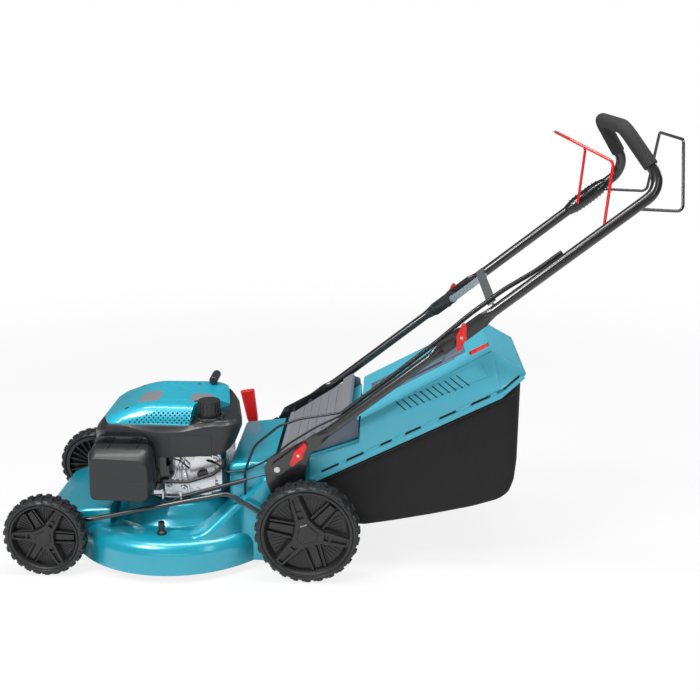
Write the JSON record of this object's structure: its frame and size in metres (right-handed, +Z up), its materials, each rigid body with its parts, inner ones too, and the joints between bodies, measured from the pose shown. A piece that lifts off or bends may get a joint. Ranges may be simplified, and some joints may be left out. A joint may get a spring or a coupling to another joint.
{
  "type": "lawn mower",
  "caption": "Petrol rotary lawn mower with a pressed deck, upright-shaft engine, rear wheel drive, folding handle with bails and a hard-lidded rear grass bag.",
  "frame": {"origin": "on the ground under the middle of the mower's length and width, wheels standing on z = 0", "axes": "+X towards the rear (the handle), +Y to the mower's right, +Z up"},
  "size_m": [1.588, 0.56, 1.0905],
  "materials": {
    "deck_paint": "gloss metallic",
    "black_steel": "gloss powder coat",
    "zinc_steel": "zinc plated",
    "blade_steel": "satin",
    "tyre_rubber": "matte",
    "wheel_plastic": "satin moulded",
    "engine_alloy": "die cast",
    "engine_black": "satin moulded",
    "cover_teal": "gloss moulded",
    "red_plastic": "gloss moulded",
    "red_steel": "gloss coat",
    "foam": "matte foam",
    "cable_black": "satin",
    "flap_grey": "satin moulded",
    "lid_teal": "satin moulded",
    "bag_cloth": "woven",
    "grey_plastic": "satin moulded",
    "iron": "machined"
  },
  "bodies": {
    "deck": {"deck_shell": "deck_paint", "wash_port": "engine_black", "handle_brackets": "black_steel", "flap_rod": "zinc_steel", "deck_fasteners": "zinc_steel", "engine_block": "engine_alloy", "engine_shroud": "engine_black", "top_cover": "cover_teal", "carburettor": "engine_black", "muffler": "zinc_steel", "fuel_hose": "cable_black", "starter_rope": "cable_black", "drive_belt": "engine_black", "gearbox": "engine_black", "height_gate": "black_steel", "assist_spring": "zinc_steel", "brake_cable": "cable_black", "drive_cable": "cable_black"},
    "crank": {"crankshaft": "zinc_steel", "flywheel": "iron", "blade": "blade_steel", "blade_adapter": "iron"},
    "starter_reel": {"starter_reel": "engine_black"},
    "starter_grip": {"starter_grip": "engine_black"},
    "fuel_cap": {"fuel_cap": "engine_black"},
    "filter_cover": {"filter_cover": "engine_black"},
    "gearbox_pulley": {"gearbox_pulley": "iron"},
    "drive_shaft": {"drive_shaft": "zinc_steel"},
    "rear_axle": {"rear_axle_frame": "black_steel", "height_grip": "red_plastic"},
    "front_axle": {"front_axle": "black_steel"},
    "connecting_rod": {"connecting_rod": "black_steel"},
    "left_pinion": {"left_pinion": "iron"},
    "right_pinion": {"right_pinion": "iron"},
    "rear_flap": {"rear_flap": "flap_grey"},
    "grass_bag": {"bag_fabric": "bag_cloth", "bag_lid": "lid_teal", "bag_handle": "grey_plastic"},
    "full_indicator": {"bag_full_flap": "red_plastic"},
    "lower_handle": {"lower_handle": "black_steel", "knob_bolts": "zinc_steel", "cable_conduit": "cable_black"},
    "upper_handle": {"upper_handle": "black_steel", "foam_grip": "foam", "handle_brace": "black_steel", "control_housing": "engine_black"},
    "brake_bail": {"brake_bail": "red_steel"},
    "drive_bail": {"drive_bail": "black_steel"},
    "left_lower_knob": {"left_lower_knob": "red_plastic"},
    "right_lower_knob": {"right_lower_knob": "red_plastic"},
    "left_upper_knob": {"left_upper_knob": "red_plastic"},
    "right_upper_knob": {"right_upper_knob": "red_plastic"},
    "front_left_wheel": {"front_left_rim": "wheel_plastic", "front_left_tyre": "tyre_rubber"},
    "front_right_wheel": {"front_right_rim": "wheel_plastic", "front_right_tyre": "tyre_rubber"},
    "rear_left_wheel": {"rear_left_rim": "wheel_plastic", "rear_left_tyre": "tyre_rubber"},
    "rear_right_wheel": {"rear_right_rim": "wheel_plastic", "rear_right_tyre": "tyre_rubber"}
  },
  "joints": [
    {"name": "blade_spin", "type": "hinge", "parent": "deck", "child": "crank", "pos_m": [-0.4025, 0, 0.028], "axis": [0, 0, 1], "continuous": true},
    {"name": "starter_pull", "type": "slide", "parent": "deck", "child": "starter_grip", "axis": [-0.5592, 0, -0.829], "range_m": [-0.6, 0], "stiffness_N_per_m": 20, "springref_m": 0.2, "deforming": ["starter_rope"]},
    {"name": "starter_reel_turn", "type": "hinge", "parent": "deck", "child": "starter_reel", "pos_m": [-0.4025, 0, 0.374], "axis": [0, 0, 1], "range_deg": [-583.67, 1]},
    {"name": "fuel_cap_twist", "type": "hinge", "parent": "deck", "child": "fuel_cap", "pos_m": [-0.3015, -0.126, 0.374], "axis": [0, 0, 1], "range_deg": [0, 120]},
    {"name": "filter_cover_off", "type": "slide", "parent": "deck", "child": "filter_cover", "axis": [0, -1, 0], "range_m": [0, 0.08]},
    {"name": "gearbox_pulley_spin", "type": "hinge", "parent": "deck", "child": "gearbox_pulley", "pos_m": [-0.1218, 0.06, 0.058], "axis": [0, 0, 1], "continuous": true},
    {"name": "drive_shaft_spin", "type": "hinge", "parent": "deck", "child": "drive_shaft", "pos_m": [-0.0978, 0, 0.102], "axis": [0, 1, 0], "continuous": true},
    {"name": "height_adjust", "type": "hinge", "parent": "deck", "child": "rear_axle", "pos_m": [-0.0978, 0, 0.102], "axis": [0, 1, 0], "range_deg": [0, 60], "deforming": ["assist_spring"]},
    {"name": "front_axle_turn", "type": "hinge", "parent": "deck", "child": "front_axle", "pos_m": [-0.7358, 0, 0.0765], "axis": [0, 1, 0], "range_deg": [0, 60]},
    {"name": "connecting_rod_turn", "type": "hinge", "parent": "rear_axle", "child": "connecting_rod", "pos_m": [-0.1128, -0.2036, 0.12798], "axis": [0, 1, 0], "range_deg": [-60, 0]},
    {"name": "rear_left_spin", "type": "hinge", "parent": "rear_axle", "child": "rear_left_wheel", "pos_m": [-0.0545, -0.24, 0.127], "axis": [0, 1, 0], "continuous": true},
    {"name": "front_left_spin", "type": "hinge", "parent": "front_axle", "child": "front_left_wheel", "pos_m": [-0.6925, -0.234, 0.1015], "axis": [0, 1, 0], "continuous": true},
    {"name": "left_pinion_spin", "type": "hinge", "parent": "rear_axle", "child": "left_pinion", "pos_m": [-0.0978, -0.214, 0.102], "axis": [0, 1, 0], "continuous": true},
    {"name": "rear_right_spin", "type": "hinge", "parent": "rear_axle", "child": "rear_right_wheel", "pos_m": [-0.0545, 0.24, 0.127], "axis": [0, 1, 0], "continuous": true},
    {"name": "front_right_spin", "type": "hinge", "parent": "front_axle", "child": "front_right_wheel", "pos_m": [-0.6925, 0.234, 0.1015], "axis": [0, 1, 0], "continuous": true},
    {"name": "right_pinion_spin", "type": "hinge", "parent": "rear_axle", "child": "right_pinion", "pos_m": [-0.0978, 0.214, 0.102], "axis": [0, 1, 0], "continuous": true},
    {"name": "rear_flap_lift", "type": "hinge", "parent": "deck", "child": "rear_flap", "pos_m": [-0.1225, 0, 0.286], "axis": [0, -1, 0], "range_deg": [0, 65]},
    {"name": "bag_slide", "type": "slide", "parent": "deck", "child": "grass_bag", "axis": [1, 0, 0], "range_m": [0, 0.6]},
    {"name": "bag_full_drop", "type": "hinge", "parent": "grass_bag", "child": "full_indicator", "pos_m": [0.3325, -0.085, 0.52554], "axis": [0, 1, 0], "range_deg": [0, 40]},
    {"name": "handle_tilt", "type": "hinge", "parent": "deck", "child": "lower_handle", "pos_m": [-0.12929, 0, 0.2681], "axis": [0, 1, 0], "range_deg": [-6, 8], "deforming": ["brake_cable", "drive_cable"]},
    {"name": "handle_fold", "type": "hinge", "parent": "lower_handle", "child": "upper_handle", "pos_m": [0.29998, 0, 0.60711], "axis": [0, -1, 0], "range_deg": [0, 130], "deforming": ["cable_conduit"]},
    {"name": "left_lower_knob_turn", "type": "hinge", "parent": "lower_handle", "child": "left_lower_knob", "pos_m": [-0.0775, -0.2006, 0.309], "axis": [0, 1, 0], "continuous": true},
    {"name": "left_upper_knob_turn", "type": "hinge", "parent": "lower_handle", "child": "left_upper_knob", "pos_m": [0.29998, -0.2094, 0.60711], "axis": [0, 1, 0], "continuous": true},
    {"name": "right_lower_knob_turn", "type": "hinge", "parent": "lower_handle", "child": "right_lower_knob", "pos_m": [-0.0775, 0.2006, 0.309], "axis": [0, 1, 0], "continuous": true},
    {"name": "right_upper_knob_turn", "type": "hinge", "parent": "lower_handle", "child": "right_upper_knob", "pos_m": [0.29998, 0.2094, 0.60711], "axis": [0, 1, 0], "continuous": true},
    {"name": "brake_bail_press", "type": "hinge", "parent": "upper_handle", "child": "brake_bail", "pos_m": [0.6135, 0, 0.86], "axis": [0, 1, 0], "range_deg": [0, 28.5], "stiffness_Nm_per_rad": 3, "springref_deg": -20.05},
    {"name": "drive_bail_press", "type": "hinge", "parent": "upper_handle", "child": "drive_bail", "pos_m": [0.6785, 0, 0.897], "axis": [0, 1, 0], "range_deg": [-38.5, 0], "stiffness_Nm_per_rad": 3, "springref_deg": 20.05}
  ],
  "couplings": [
    {"joint": "starter_reel_turn", "follows": "starter_pull", "rad_per_m": 16.949},
    {"joint": "gearbox_pulley_spin", "follows": "blade_spin", "ratio": 0.76923},
    {"joint": "front_axle_turn", "follows": "height_adjust", "ratio": 1},
    {"joint": "connecting_rod_turn", "follows": "height_adjust", "ratio": -1},
    {"joint": "left_pinion_spin", "follows": "rear_left_spin", "ratio": 5.1667},
    {"joint": "right_pinion_spin", "follows": "rear_right_spin", "ratio": 5.1667}
  ]
}
